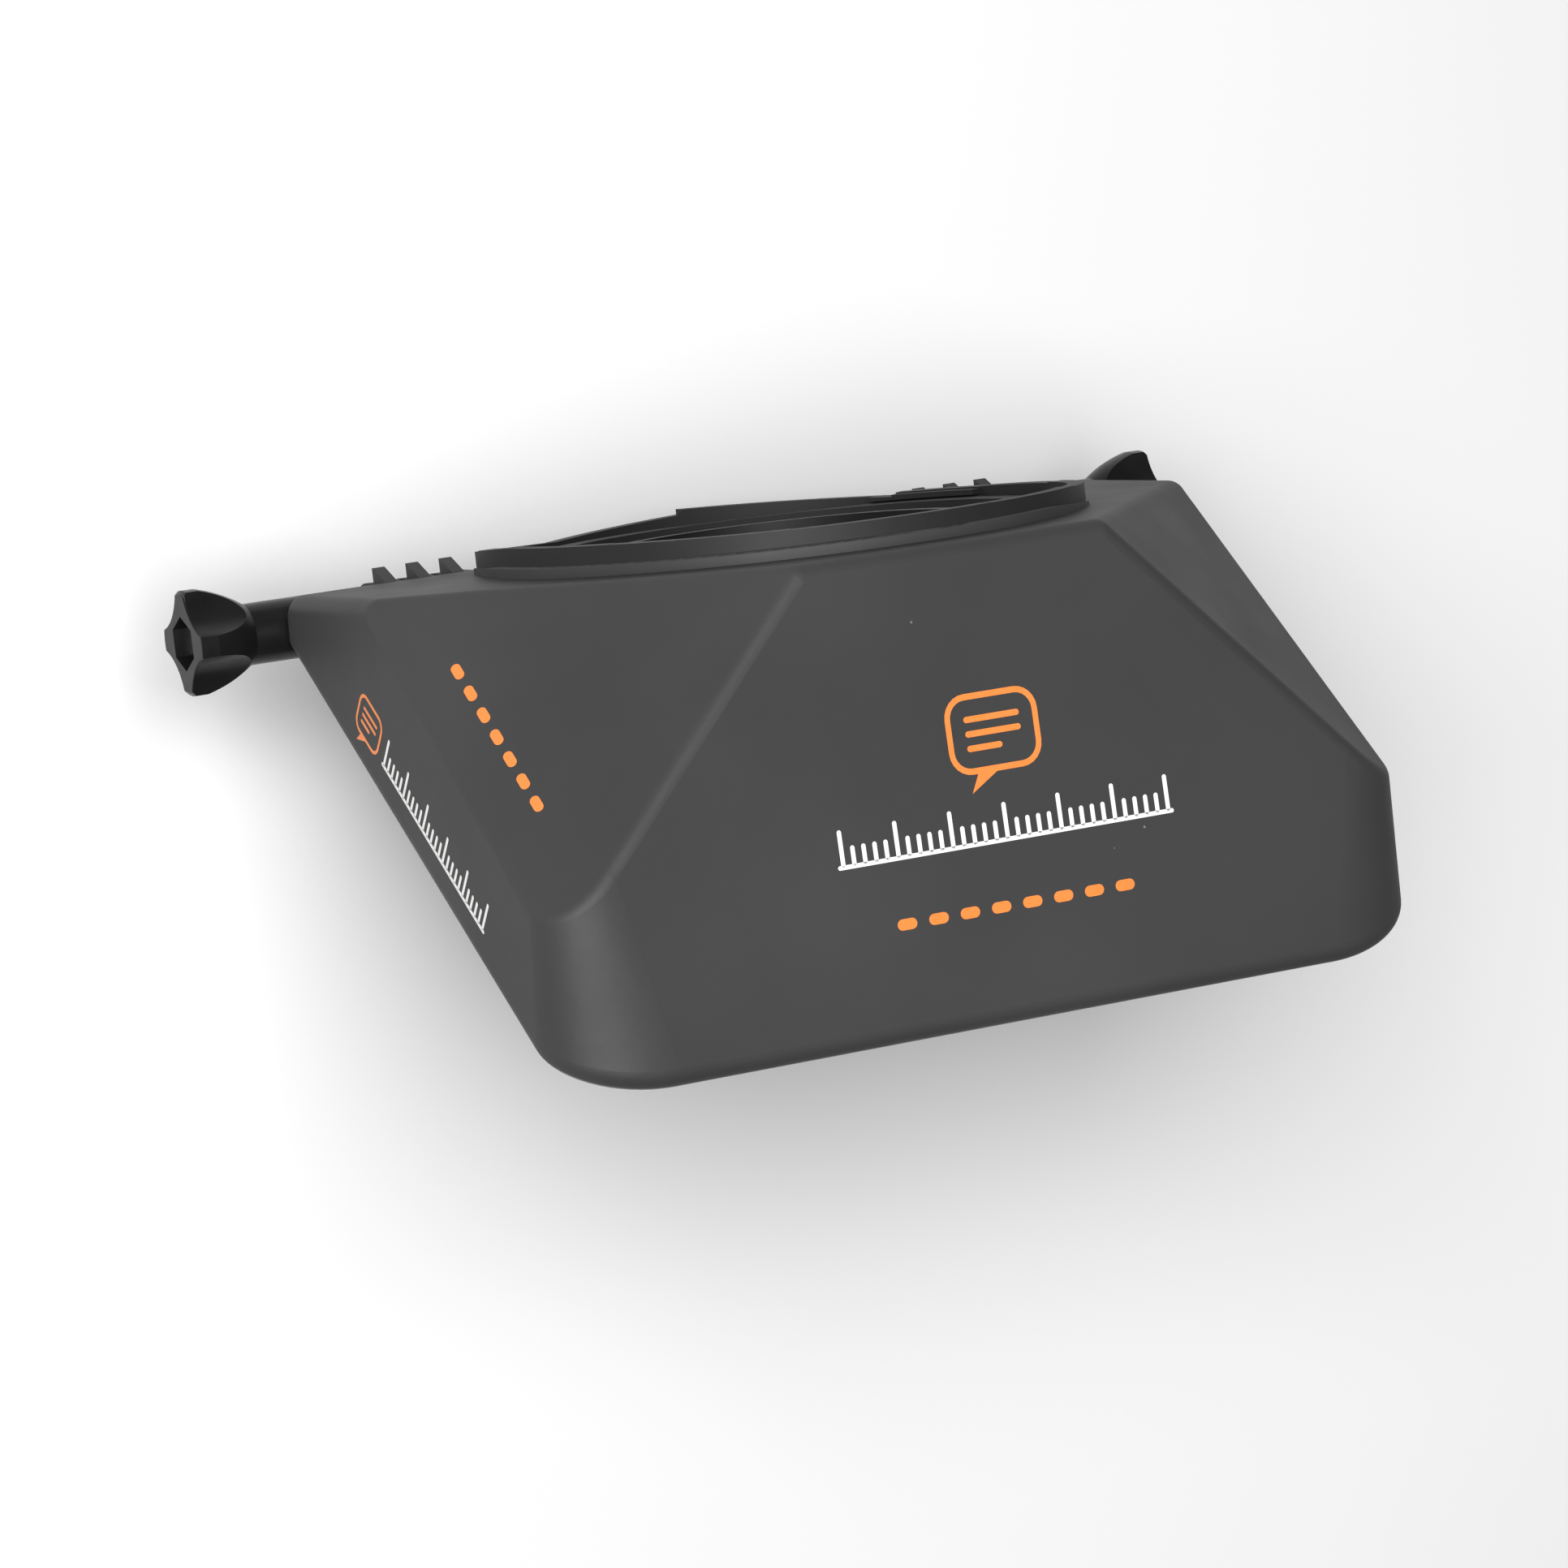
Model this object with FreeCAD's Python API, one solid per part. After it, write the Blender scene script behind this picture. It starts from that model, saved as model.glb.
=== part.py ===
import FreeCAD, Part
import math
import os

# Compact lens-mounted teleprompter.  Millimetres, +Z up.
# Origin: centre of the lens opening, on the rear face of the hood.
# +Y runs from the camera towards the person on screen, +X is the operator's right.

os.makedirs("parts", exist_ok=True)

V = FreeCAD.Vector
X_AXIS = V(1, 0, 0)
Y_AXIS = V(0, 1, 0)
Z_AXIS = V(0, 0, 1)

# --- hood outline -----------------------------------------------------------
HALF_WIDTH = 77.6          # half width at the rear face
SIDE_FLARE = 0.030         # sideways growth per mm of depth
ROOF_Z = 60.1              # roof height over the lens axis at the rear face
ROOF_RISE = 0.059          # roof rise per mm of depth
BASE_Z = -33.6             # lower end of the hood walls
DEPTH = 81.2               # rear face to the roof's front edge
MOUTH_LEAN = 0.737         # mm of depth lost per mm below the roof edge
CORNER_R = 1.0             # roof corner rounding at the rear face
CORNER_RX_GROWTH = 0.24    # sideways rounding gained per mm of depth
CORNER_RZ_GROWTH = 0.15    # downward rounding gained per mm of depth
CORNER_R_LEAST = 0.5
FACET_X = 27.06            # facet plane: x at the roof's rear edge
FACET_SLOPE_Y = 1.008      # facet plane: x gained per mm of depth
FACET_SLOPE_Z = -0.839     # facet plane: x gained per mm of height
BASE_ROUND = 4.0           # rounding of the lower rear edge
TOE_ROUND = 2.0            # rounding where the walls meet the mouth
SOFT_EDGE = 3.0            # rounding of the facet creases and around the rear face
OUTLINE_DROP = 8.0         # the outline runs this far below the walls, then is trimmed
WALL = 2.5
REAR_WALL = 3.0
FLOOR = 2.2
LOFT_DEPTH = 90.0          # the outline is drawn past the mouth, then trimmed

# --- mouth stack, measured back from the mouth plane ---------------------------
BEZEL_T = 1.6
GLASS_T = 1.8
GASKET_T = 0.8
LEDGE_T = 2.0
BEZEL_WIDTH = 6.5
LEDGE_WIDTH = 5.5
GLASS_GAP = 0.3
LINER_T = 0.5
LINER_BASE_Z = -29.0

# --- lens collar and rings -------------------------------------------------------
COLLAR_R = 51.4
COLLAR_BORE_R = 48.6
COLLAR_H = 5.6
TONGUE_R = 53.4
TONGUE_ROUND = 1.0
PANEL_HOLE_R = 45.0
TAB_REACH = 2.0
TAB_T = 0.9
TAB_DROP = 1.4             # rear face to the underside of the bayonet tabs
TAB_ARC = 26.0
TAB_ANGLES = (90.0, 210.0, 330.0)
LUG_ARC = 30.0
RING_BODY_R = 46.2
RING_LUG_R = 48.3
RING_LUG_Y = (-1.1, -0.3)
RING_BARREL_R = 44.6
RING_BARREL_WALL = 2.4
RING_WEB_Y = (2.4, 4.6)
STEP_FLANGE_T = 0.9
STEP_THREAD_R = 38.5
STEP_THREAD_FIT = 0.05
STEP_SPIGOT_R = 33.5
STEP_SPIGOT_WALL = 2.0
STEP_FLANGE_R = 40.6
SPIGOT_TIP_Y = -0.7
COLLAR_SCREW_R = 50.0
# each screw: angle, and how far its tip reaches behind the rear face
COLLAR_SCREWS = ((15, 3.6), (75, 3.6), (125, 3.4), (190, 1.6), (245, 1.6), (345, 2.8))
# rim slopes: start angle, rim height there, end angle, rim height there
COLLAR_RAMPS = (
    (-30.0, 3.2, -15.0, 4.2),
    (-15.0, 4.2, 0.0, 5.0),
    (0.0, 5.0, 30.0, 5.0),
    (30.0, 5.0, 65.0, 4.6),
    (65.0, 4.6, 105.0, 4.5),
    (105.0, 4.5, 135.0, 4.2),
    (135.0, 4.2, 172.0, 3.1),
    (172.0, 3.1, 197.0, 2.6),
    (197.0, 2.6, 218.0, 2.5),
    (218.0, 1.7, 263.5, 3.9),
    (263.5, 2.9, 296.0, 1.4),
    (296.0, 1.4, 330.0, 3.2),
)
PLINTH_R = 51.9            # raised seat under the upper part of the collar
PLINTH_H = 2.0
PLINTH_AIM = 60.0          # the seat is highest towards this angle
PLINTH_FULL_AT = 25.7      # distance that way at which it reaches full height
PLINTH_ENDS_AT = -9.0      # and at which it has run out
PLINTH_ROUND = 0.4

# --- hinge -------------------------------------------------------------------------
HINGE_Y = 5.9
HINGE_Z = -39.2
EYE_R = 5.6
FINGER_X = (58.3, 52.1, 45.9)
FINGER_T = 2.2
TRAY_FINGER_X = (55.2, 49.0)
TRAY_FINGER_T = 3.4
TOOTH_H = 2.3
TOOTH_TIP_Z = -36.0
TOOTH_ROOT_Z = -31.0
NUT_BLOCK_T = 5.2
NUT_AF = 8.0
NUT_T = 4.0
BOLT_R = 2.5
BOLT_TIP_X = 41.2
HOLE_R = 2.6
BUSH_R = 3.7
BUSH_BORE_R = 2.56
WASHER_R = 5.0
WASHER_T = 1.0

# --- thumb knobs -----------------------------------------------------------------------
KNOB_IN_X = 82.4
KNOB_OUT_X = 93.6
KNOB_R = 8.9
KNOB_RIM = 0.7             # small slope round the outer face
KNOB_FLAT = 2.2            # full-radius length behind that slope
KNOB_DOME_MID = (4.6, 7.7) # distance from the inner end and radius half way down the dome
KNOB_LOBES = 4
KNOB_SCOOP_R = 9.4
KNOB_SCOOP_OUT = 15.4
KNOB_TURN = 42.0           # first scoop, from +Y towards +Z
KNOB_EDGE = 0.35
SLEEVE_R = 5.2
SLEEVE_END_X = 60.75
HEX_AF = 8.0
HEX_HEAD_T = 3.5
HEX_SEAT_X = 86.6

# --- device tray, in its own frame: u out from the hinge, n down from the hinge ---------
TRAY_HALF = 60.0
TRAY_U = (1.0, 102.0)
DECK_N = 10.85
DECK_T = 2.0
TRAY_BASE_N = 18.35
COVER_T = 1.5
TRAY_RIM = 2.2
TRAY_CORNER = 8.0
FOLD_DEG = math.degrees(math.atan2(1.0, MOUTH_LEAN))
JAW_HALF = 38.0
JAW_TOP_N = 0.85
REAR_JAW_U = (2.0, 5.0)
PAD_T = 1.5
PAD_HALF = 36.0
JAW_U = (66.0, 70.0)
CARRIAGE_U = (60.0, 70.0)
CARRIAGE_N = (13.2, 18.0)
CARRIAGE_HALF = 36.0
LEG_HALF = 2.6
JAW_TRAVEL = 28.0
ROD_X = 30.0
ROD_R = 1.5
ROD_N = 15.6
ROD_U = (50.0, 101.6)
ROD_BLOCK_U = (49.0, 54.0)
JAW_BUSH_R = 2.1
JAW_BUSH_BORE_R = 1.55
SLOT_CLEAR = 0.5
SPRING_X = 16.0
SPRING_R = 2.1
SPRING_U = (20.0, 60.0)
SPRING_POST_U = 18.5
SPRING_POST_R = 1.5
DECK_PAD_X = (41.0, 53.0)
DECK_PAD_U = (14.0, 92.0)
DECK_PAD_T = 1.0
END_CAP_T = 1.5
END_CAP_HALF = 46.0
END_CAP_SCREW_X = 40.5
CAP_SCREW_REACH = 6.0
COVER_SCREW_REACH = 4.0
COVER_SCREW_POS = ((-50.0, 8.0), (50.0, 8.0), (-50.0, 95.0), (50.0, 95.0))
SCREW_R = 1.2
SCREW_HEAD_R = 2.1
SCREW_HEAD_T = 0.9
SCREW_BITE = 0.2           # a screw's hole is this much smaller than its clearance hole
DRIVE_LONG = 2.4
DRIVE_WIDE = 0.55
DRIVE_DEEP = 0.5


def cylinder(radius, start, direction, length):
    return Part.makeCylinder(radius, length, start, direction)


def tube(outer, inner, start, direction, length):
    margin = 1.0
    hole = cylinder(inner, start - direction * margin, direction, length + 2 * margin)
    return cylinder(outer, start, direction, length).cut(hole)


def span_box(x, y, z):
    corner = V(min(x), min(y), min(z))
    return Part.makeBox(abs(x[1] - x[0]), abs(y[1] - y[0]), abs(z[1] - z[0]), corner)


def prism(points, direction):
    outline = Part.makePolygon([V(*p) for p in points] + [V(*points[0])])
    return Part.Face(outline).extrude(direction)


def mirror_x(shape):
    return shape.mirror(V(0, 0, 0), X_AXIS)


def fuse_all(shapes):
    result = shapes[0]
    if len(shapes) > 1:
        result = shapes[0].multiFuse(shapes[1:])
    return result.removeSplitter()


def half_space(point, normal, reach=400.0):
    unit = V(normal).normalize()
    side = unit.cross(X_AXIS)
    if side.Length < 0.1:
        side = unit.cross(Y_AXIS)
    side.normalize()
    other = unit.cross(side)
    corners = [point + side * (a * reach) + other * (b * reach)
               for a, b in ((-1, -1), (1, -1), (1, 1), (-1, 1))]
    return prism([(c.x, c.y, c.z) for c in corners], unit * reach)


def hex_prism(across_flats, start, direction, length, turn=0.0):
    radius = across_flats / math.sqrt(3.0)
    side = V(0, 1, 0) if abs(direction.x) > 0.5 else V(1, 0, 0)
    other = direction.cross(side)
    corners = []
    for step in range(6):
        angle = math.radians(60 * step + turn)
        corners.append(start + side * (radius * math.cos(angle)) + other * (radius * math.sin(angle)))
    return prism([(c.x, c.y, c.z) for c in corners], direction * length)


def cross_recess(top, inward):
    """Cutters for a cross drive, sunk from the top of a screw head."""
    other = inward.cross(X_AXIS)
    slots = []
    for along, across in ((X_AXIS, other), (other, X_AXIS)):
        corners = [top + along * (i * DRIVE_LONG / 2) + across * (j * DRIVE_WIDE / 2)
                   for i, j in ((-1, -1), (1, -1), (1, 1), (-1, 1))]
        slots.append(prism([(c.x, c.y, c.z) for c in corners], inward * DRIVE_DEEP))
    return slots


def pan_screw(seat, inward, length):
    """Pan-head screw; seat is the middle of the head's underside."""
    shank = cylinder(SCREW_R - SCREW_BITE, seat, inward, length)
    screw = shank.fuse(cylinder(SCREW_HEAD_R, seat, inward * -1, SCREW_HEAD_T))
    for slot in cross_recess(seat - inward * SCREW_HEAD_T, inward):
        screw = screw.cut(slot)
    return screw


def save(name, shape):
    shape.exportStep("parts/%s.step" % name)


# --- hood envelope ---------------------------------------------------------------------

MOUTH_DIR = V(0, MOUTH_LEAN, 1).normalize()
MOUTH_OUT = V(0, MOUTH_DIR.z, -MOUTH_DIR.y)
ROOF_FRONT = V(0, DEPTH, ROOF_Z + ROOF_RISE * DEPTH)


def mouth_point(back):
    return ROOF_FRONT - MOUTH_OUT * back


def outline(inset, y):
    """Closed section across the hood: straight sides and rounded roof corners."""
    half = HALF_WIDTH + SIDE_FLARE * y - inset
    top = ROOF_Z + ROOF_RISE * y - inset
    base = BASE_Z - OUTLINE_DROP if inset == 0 else BASE_Z + FLOOR + inset - WALL
    rx = max(CORNER_R + CORNER_RX_GROWTH * y - inset, CORNER_R_LEAST + 0.1)
    rz = max(CORNER_R + CORNER_RZ_GROWTH * y - inset, CORNER_R_LEAST)
    edges = [Part.LineSegment(V(-half, y, base), V(half, y, base)).toShape()]
    for sign in (1, -1):
        middle = V(sign * (half - rx), y, top - rz)
        low = V(sign * half, y, top - rz)
        high = V(sign * (half - rx), y, top)
        curve = Part.Ellipse(low, high, middle)
        edges.append(Part.LineSegment(V(sign * half, y, base), low).toShape())
        edges.append(Part.ArcOfEllipse(curve, 0.0, math.pi / 2).toShape())
    left_end = V(-(half - rx), y, top)
    right_end = V(half - rx, y, top)
    edges.append(Part.LineSegment(left_end, right_end).toShape())
    return Part.Wire(Part.__sortEdges__(edges))


def facet_cutter(inset, sign):
    normal = V(sign, -FACET_SLOPE_Y, -FACET_SLOPE_Z)
    unit = V(normal).normalize()
    point = V(sign * FACET_X, 0, ROOF_Z)
    return half_space(point - unit * inset, normal)


def tapered_body(inset):
    body = Part.makeLoft([outline(inset, 0.0), outline(inset, LOFT_DEPTH)], True, True)
    for sign in (1, -1):
        body = body.cut(facet_cutter(inset, sign))
    return body


def is_cross_edge(edge, y, z):
    ends = [v.Point for v in edge.Vertexes]
    return all(abs(p.y - y) < 0.01 and abs(p.z - z) < 0.01 for p in ends)


def side_profile():
    """Side view of the hood, extruded across it: rear face, mouth and rounded lower end."""
    toe_y = ROOF_FRONT.y - MOUTH_LEAN * (ROOF_FRONT.z - BASE_Z)
    head_z = ROOF_FRONT.z + 40.0
    head_y = toe_y + MOUTH_LEAN * (head_z - BASE_Z)
    half = 120.0
    plate = prism([(-half, 0, BASE_Z), (-half, toe_y, BASE_Z),
                   (-half, head_y, head_z), (-half, 0, head_z)], V(2 * half, 0, 0))
    heel = [e for e in plate.Edges if is_cross_edge(e, 0, BASE_Z)]
    plate = plate.makeFillet(BASE_ROUND, heel)
    toe = [e for e in plate.Edges if is_cross_edge(e, toe_y, BASE_Z)]
    return plate.makeFillet(TOE_ROUND, toe)


def soft_edges(body):
    """The facet creases, their curved ends over the roof corners, and the rear face's border."""
    rear = []
    creases = []
    for edge in body.Edges:
        points = [v.Point for v in edge.Vertexes]
        at_rear = [abs(p.y) < 0.01 and p.z > BASE_Z + BASE_ROUND - 0.1 for p in points]
        above_base = max(p.z for p in points) > -5
        if all(at_rear) and above_base:
            rear.append(edge)
        elif any(at_rear) and above_base and max(p.y for p in points) > 20:
            creases.append(edge)
    crease_ends = [v.Point for e in creases for v in e.Vertexes if v.Point.y > 20]
    bends = []
    for edge in body.Edges:
        points = [v.Point for v in edge.Vertexes]
        if all(any((p - q).Length < 0.01 for q in crease_ends) for p in points):
            bends.append(edge)
    return rear + creases + bends


def behind_mouth(body, back):
    """Keep what lies at least this far behind the mouth plane."""
    return body.cut(half_space(mouth_point(back), MOUTH_OUT))


def mouth_slab(body, front, back):
    """Keep the slice between two depths behind the mouth plane."""
    return behind_mouth(body, front).cut(half_space(mouth_point(back), -MOUTH_OUT))


def polar(radius, degrees, y):
    angle = math.radians(degrees)
    return V(radius * math.cos(angle), y, radius * math.sin(angle))


def pie(start, end, y_from, y_to, reach=70.0):
    """Wedge of a disc about the lens axis, between two angles and two depths."""
    middle = (start + end) / 2.0
    points = [V(0, y_from, 0), polar(reach, start, y_from), polar(reach, middle, y_from),
              polar(reach, end, y_from)]
    return prism([(p.x, p.y, p.z) for p in points], V(0, y_to - y_from, 0))


def ramp_cutter(start, start_height, end, end_height, reach=62.0):
    """Removes the collar's rim above a slope that runs from one angle to another."""
    low = [V(0, -(start_height + end_height) / 2.0, 0),
           polar(reach, start, -start_height), polar(reach, end, -end_height)]
    high = [V(p.x, -20.0, p.z) for p in low]
    faces = [Part.Face(Part.makePolygon(low + [low[0]])), Part.Face(Part.makePolygon(high + [high[0]]))]
    for i in range(3):
        j = (i + 1) % 3
        side = Part.makePolygon([low[i], low[j], high[j], high[i], low[i]])
        faces.append(Part.Face(side))
    return Part.Solid(Part.Shell(faces))


# --- hinge fingers -----------------------------------------------------------------------

HINGE_POINT = V(0, HINGE_Y, HINGE_Z)


def hinge_cylinder(radius, x_from, x_to):
    start = V(x_from, HINGE_Y, HINGE_Z)
    return cylinder(radius, start, V(math.copysign(1, x_to - x_from), 0, 0), abs(x_to - x_from))


def finger_slice(x_from, x_to):
    """Hood hinge finger: an eye round the bolt, a web into the hood floor and a rear tooth."""
    width = x_to - x_from
    rear = HINGE_Y - EYE_R
    front = HINGE_Y + EYE_R
    web = [(x_from, rear, HINGE_Z), (x_from, rear, TOOTH_TIP_Z), (x_from, -TOOTH_H, TOOTH_TIP_Z),
           (x_from, -TOOTH_H, TOOTH_TIP_Z + 0.4), (x_from, 0.0, TOOTH_ROOT_Z),
           (x_from, 1.5, TOOTH_ROOT_Z), (x_from, 7.0, BASE_Z + 0.8), (x_from, front, HINGE_Z)]
    return prism(web, V(width, 0, 0)).fuse(hinge_cylinder(EYE_R, x_from, x_to))


def hood_fingers():
    """Right-hand set; the innermost finger is thick enough to hold the nut."""
    pieces = []
    for x in FINGER_X:
        pieces.append(finger_slice(x - FINGER_T / 2, x + FINGER_T / 2))
    inner = FINGER_X[-1] + FINGER_T / 2
    block = prism([(inner - NUT_BLOCK_T, HINGE_Y - EYE_R, HINGE_Z),
                   (inner - NUT_BLOCK_T, HINGE_Y - EYE_R, BASE_Z + 1.0),
                   (inner - NUT_BLOCK_T, 7.0, BASE_Z + 0.8),
                   (inner - NUT_BLOCK_T, HINGE_Y + EYE_R, HINGE_Z)], V(NUT_BLOCK_T, 0, 0))
    pieces.append(block.fuse(hinge_cylinder(EYE_R, inner - NUT_BLOCK_T, inner)))
    return fuse_all(pieces)


def nut_pocket():
    start = V(FINGER_X[-1] + FINGER_T / 2 - NUT_BLOCK_T, HINGE_Y, HINGE_Z)
    return hex_prism(NUT_AF + 0.1, start, X_AXIS, NUT_T)


# --- hood ------------------------------------------------------------------------------------


def collar_seat():
    """Raised seat that fades out round the collar's lower half."""
    disc = cylinder(PLINTH_R, V(0, -PLINTH_H, 0), Y_AXIS, PLINTH_H)
    rim = [e for e in disc.Edges if abs(e.BoundBox.YMax + PLINTH_H) < 0.01]
    disc = disc.makeFillet(PLINTH_ROUND, rim)
    aim = polar(1.0, PLINTH_AIM, 0)
    run = PLINTH_FULL_AT - PLINTH_ENDS_AT
    slope_normal = V(-aim.x * PLINTH_H, -run, -aim.z * PLINTH_H)
    return disc.cut(half_space(aim * PLINTH_ENDS_AT, slope_normal))


envelope = tapered_body(0).common(side_profile())
envelope = envelope.makeFillet(SOFT_EDGE, soft_edges(envelope))
cavity = tapered_body(WALL).cut(span_box((-200, 200), (-50, REAR_WALL), (-200, 200)))
glass_room = tapered_body(WALL + GLASS_GAP)

seat = BEZEL_T + GLASS_T + GASKET_T
hood = behind_mouth(envelope, BEZEL_T).cut(cavity)
ledge = mouth_slab(tapered_body(WALL - 0.5).cut(tapered_body(WALL + LEDGE_WIDTH)), seat, seat + LEDGE_T)
ledge = ledge.cut(span_box((-200, 200), (-50, REAR_WALL / 2), (-200, 200)))
tongue = cylinder(TONGUE_R, V(0, 0, 0), Y_AXIS, REAR_WALL)
rear_rim = [e for e in tongue.Edges if abs(e.BoundBox.YMin) < 0.01 and e.BoundBox.YMax < 0.01]
tongue = tongue.makeFillet(TONGUE_ROUND, rear_rim)
fingers = hood_fingers()
seat_block = collar_seat()
seat_bore = cylinder(COLLAR_BORE_R, V(0, -PLINTH_H - 1, 0), Y_AXIS, PLINTH_H + 1)
hood = fuse_all([hood, ledge, tongue, fingers, mirror_x(fingers), seat_block]).cut(seat_bore)
hood = hood.cut(cylinder(PANEL_HOLE_R, V(0, -5, 0), Y_AXIS, REAR_WALL + 10))
for side in (1, -1):
    hood = hood.cut(hinge_cylinder(HOLE_R, side * 30.0, side * 70.0))
hood = hood.cut(nut_pocket()).cut(mirror_x(nut_pocket()))
for angle, reach in COLLAR_SCREWS:
    hood = hood.cut(cylinder(SCREW_R, polar(COLLAR_SCREW_R, angle, -reach), Y_AXIS, reach + REAR_WALL + 5))
bezel = mouth_slab(envelope, 0.0, BEZEL_T).cut(tapered_body(BEZEL_WIDTH))
hood = hood.cut(bezel)
save("hood_shell", hood)
save("mouth_bezel", bezel)

glass = mouth_slab(glass_room, BEZEL_T, BEZEL_T + GLASS_T)
save("beam_splitter_glass", glass)

gasket = mouth_slab(glass_room.cut(tapered_body(WALL + LEDGE_WIDTH - 0.5)), BEZEL_T + GLASS_T, seat)
save("glass_gasket", gasket)

liner = behind_mouth(cavity, seat + LEDGE_T).cut(tapered_body(WALL + LINER_T))
liner = liner.cut(span_box((-200, 200), (-200, 200), (-200, LINER_BASE_Z)))
save("flock_liner", liner)


# --- lens collar, adapter ring, step ring ---------------------------------------------------

collar = tube(COLLAR_R, COLLAR_BORE_R, V(0, -COLLAR_H, 0), Y_AXIS, COLLAR_H)
for angle in TAB_ANGLES:
    tab = tube(COLLAR_BORE_R + 1.0, COLLAR_BORE_R - TAB_REACH, V(0, -TAB_DROP - TAB_T, 0), Y_AXIS, TAB_T)
    collar = collar.fuse(tab.common(pie(angle - TAB_ARC / 2, angle + TAB_ARC / 2, -5, 1)))
for start, start_h, end, end_h in COLLAR_RAMPS:
    collar = collar.cut(ramp_cutter(start, start_h, end, end_h))
collar = collar.cut(seat_block)
for angle, reach in COLLAR_SCREWS:
    hole_end = polar(COLLAR_SCREW_R, angle, -reach)
    collar = collar.cut(cylinder(SCREW_R - SCREW_BITE, hole_end, Y_AXIS, 10))
save("lens_collar", collar.removeSplitter())

screws = []
for angle, reach in COLLAR_SCREWS:
    seat = polar(COLLAR_SCREW_R, angle, REAR_WALL)
    screws.append(pan_screw(seat, Y_AXIS * -1, REAR_WALL + reach))
save("collar_screws", Part.makeCompound(screws))

lug_y, lug_top = RING_LUG_Y
web_y, web_top = RING_WEB_Y
ring = tube(RING_BODY_R, RING_BARREL_R - RING_BARREL_WALL, V(0, lug_y, 0), Y_AXIS, lug_top - lug_y)
for angle in TAB_ANGLES:
    lug = tube(RING_LUG_R, RING_BODY_R - 1.0, V(0, lug_y, 0), Y_AXIS, lug_top - lug_y)
    ring = ring.fuse(lug.common(pie(angle - LUG_ARC / 2, angle + LUG_ARC / 2, -5, 1)))
ring = ring.fuse(tube(RING_BARREL_R, RING_BARREL_R - RING_BARREL_WALL, V(0, lug_y, 0), Y_AXIS,
                      web_top - lug_y))
ring = ring.fuse(tube(RING_BARREL_R, STEP_THREAD_R + STEP_THREAD_FIT, V(0, web_y, 0), Y_AXIS,
                      web_top - web_y))
save("adapter_ring", ring.removeSplitter())

step = tube(STEP_THREAD_R, STEP_SPIGOT_R - STEP_SPIGOT_WALL, V(0, web_y, 0), Y_AXIS, web_top - web_y)
step = step.fuse(tube(STEP_FLANGE_R, STEP_SPIGOT_R - STEP_SPIGOT_WALL, V(0, web_y - STEP_FLANGE_T, 0),
                      Y_AXIS, STEP_FLANGE_T))
step = step.fuse(tube(STEP_SPIGOT_R, STEP_SPIGOT_R - STEP_SPIGOT_WALL, V(0, SPIGOT_TIP_Y, 0), Y_AXIS,
                      web_top - SPIGOT_TIP_Y))
save("step_ring", step.removeSplitter())


# --- hinge hardware and thumb knobs ------------------------------------------------------------


def knob_right():
    """Star grip with four blunt lobes, a domed inner side and a long sleeve."""
    shoulder_x = KNOB_OUT_X - KNOB_RIM
    profile = [(KNOB_IN_X, 0), (KNOB_IN_X, SLEEVE_R), (KNOB_IN_X + KNOB_DOME_MID[0], KNOB_DOME_MID[1]),
               (shoulder_x - KNOB_FLAT, KNOB_R), (shoulder_x, KNOB_R), (KNOB_OUT_X, KNOB_R - KNOB_RIM),
               (KNOB_OUT_X, 0)]
    points = [V(x, HINGE_Y, HINGE_Z + radius) for x, radius in profile]
    edges = [Part.LineSegment(points[0], points[1]).toShape(),
             Part.Arc(points[1], points[2], points[3]).toShape()]
    for a, b in ((3, 4), (4, 5), (5, 6), (6, 0)):
        edges.append(Part.LineSegment(points[a], points[b]).toShape())
    head = Part.Face(Part.Wire(edges)).revolve(HINGE_POINT, X_AXIS, 360)
    for lobe in range(KNOB_LOBES):
        angle = math.radians(360.0 / KNOB_LOBES * lobe + KNOB_TURN)
        centre = V(KNOB_IN_X - 1, HINGE_Y + KNOB_SCOOP_OUT * math.cos(angle),
                   HINGE_Z + KNOB_SCOOP_OUT * math.sin(angle))
        head = head.cut(cylinder(KNOB_SCOOP_R, centre, X_AXIS, 20))
    face_edges = [e for e in head.Edges if all(abs(v.Point.x - KNOB_OUT_X) < 0.01 for v in e.Vertexes)]
    head = head.makeFillet(KNOB_EDGE, face_edges)
    body = head.fuse(hinge_cylinder(SLEEVE_R, SLEEVE_END_X, KNOB_IN_X + 3.0))
    body = body.cut(hinge_cylinder(BOLT_R, SLEEVE_END_X - 1, KNOB_OUT_X + 1))
    pocket = hex_prism(HEX_AF, V(HEX_SEAT_X, HINGE_Y, HINGE_Z), X_AXIS, 20)
    return body.cut(pocket).removeSplitter()


def bolt_right():
    head = hex_prism(HEX_AF, V(HEX_SEAT_X, HINGE_Y, HINGE_Z), X_AXIS, HEX_HEAD_T)
    return head.fuse(hinge_cylinder(BOLT_R, BOLT_TIP_X, HEX_SEAT_X))


knob = knob_right()
save("right_knob", knob)
save("left_knob", mirror_x(knob))
bolt = bolt_right()
save("right_bolt", bolt)
save("left_bolt", mirror_x(bolt))

nut = hex_prism(NUT_AF, V(FINGER_X[-1] + FINGER_T / 2 - NUT_BLOCK_T, HINGE_Y, HINGE_Z), X_AXIS, NUT_T)
nut = nut.cut(hinge_cylinder(BOLT_R + 0.05, 30, 60))
save("hinge_nuts", Part.makeCompound([nut, mirror_x(nut)]))

face_x = FINGER_X[0] + FINGER_T / 2
washer = hinge_cylinder(WASHER_R, face_x, face_x + WASHER_T).cut(hinge_cylinder(HOLE_R, 30, 80))
save("hinge_washers", Part.makeCompound([washer, mirror_x(washer)]))


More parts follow.
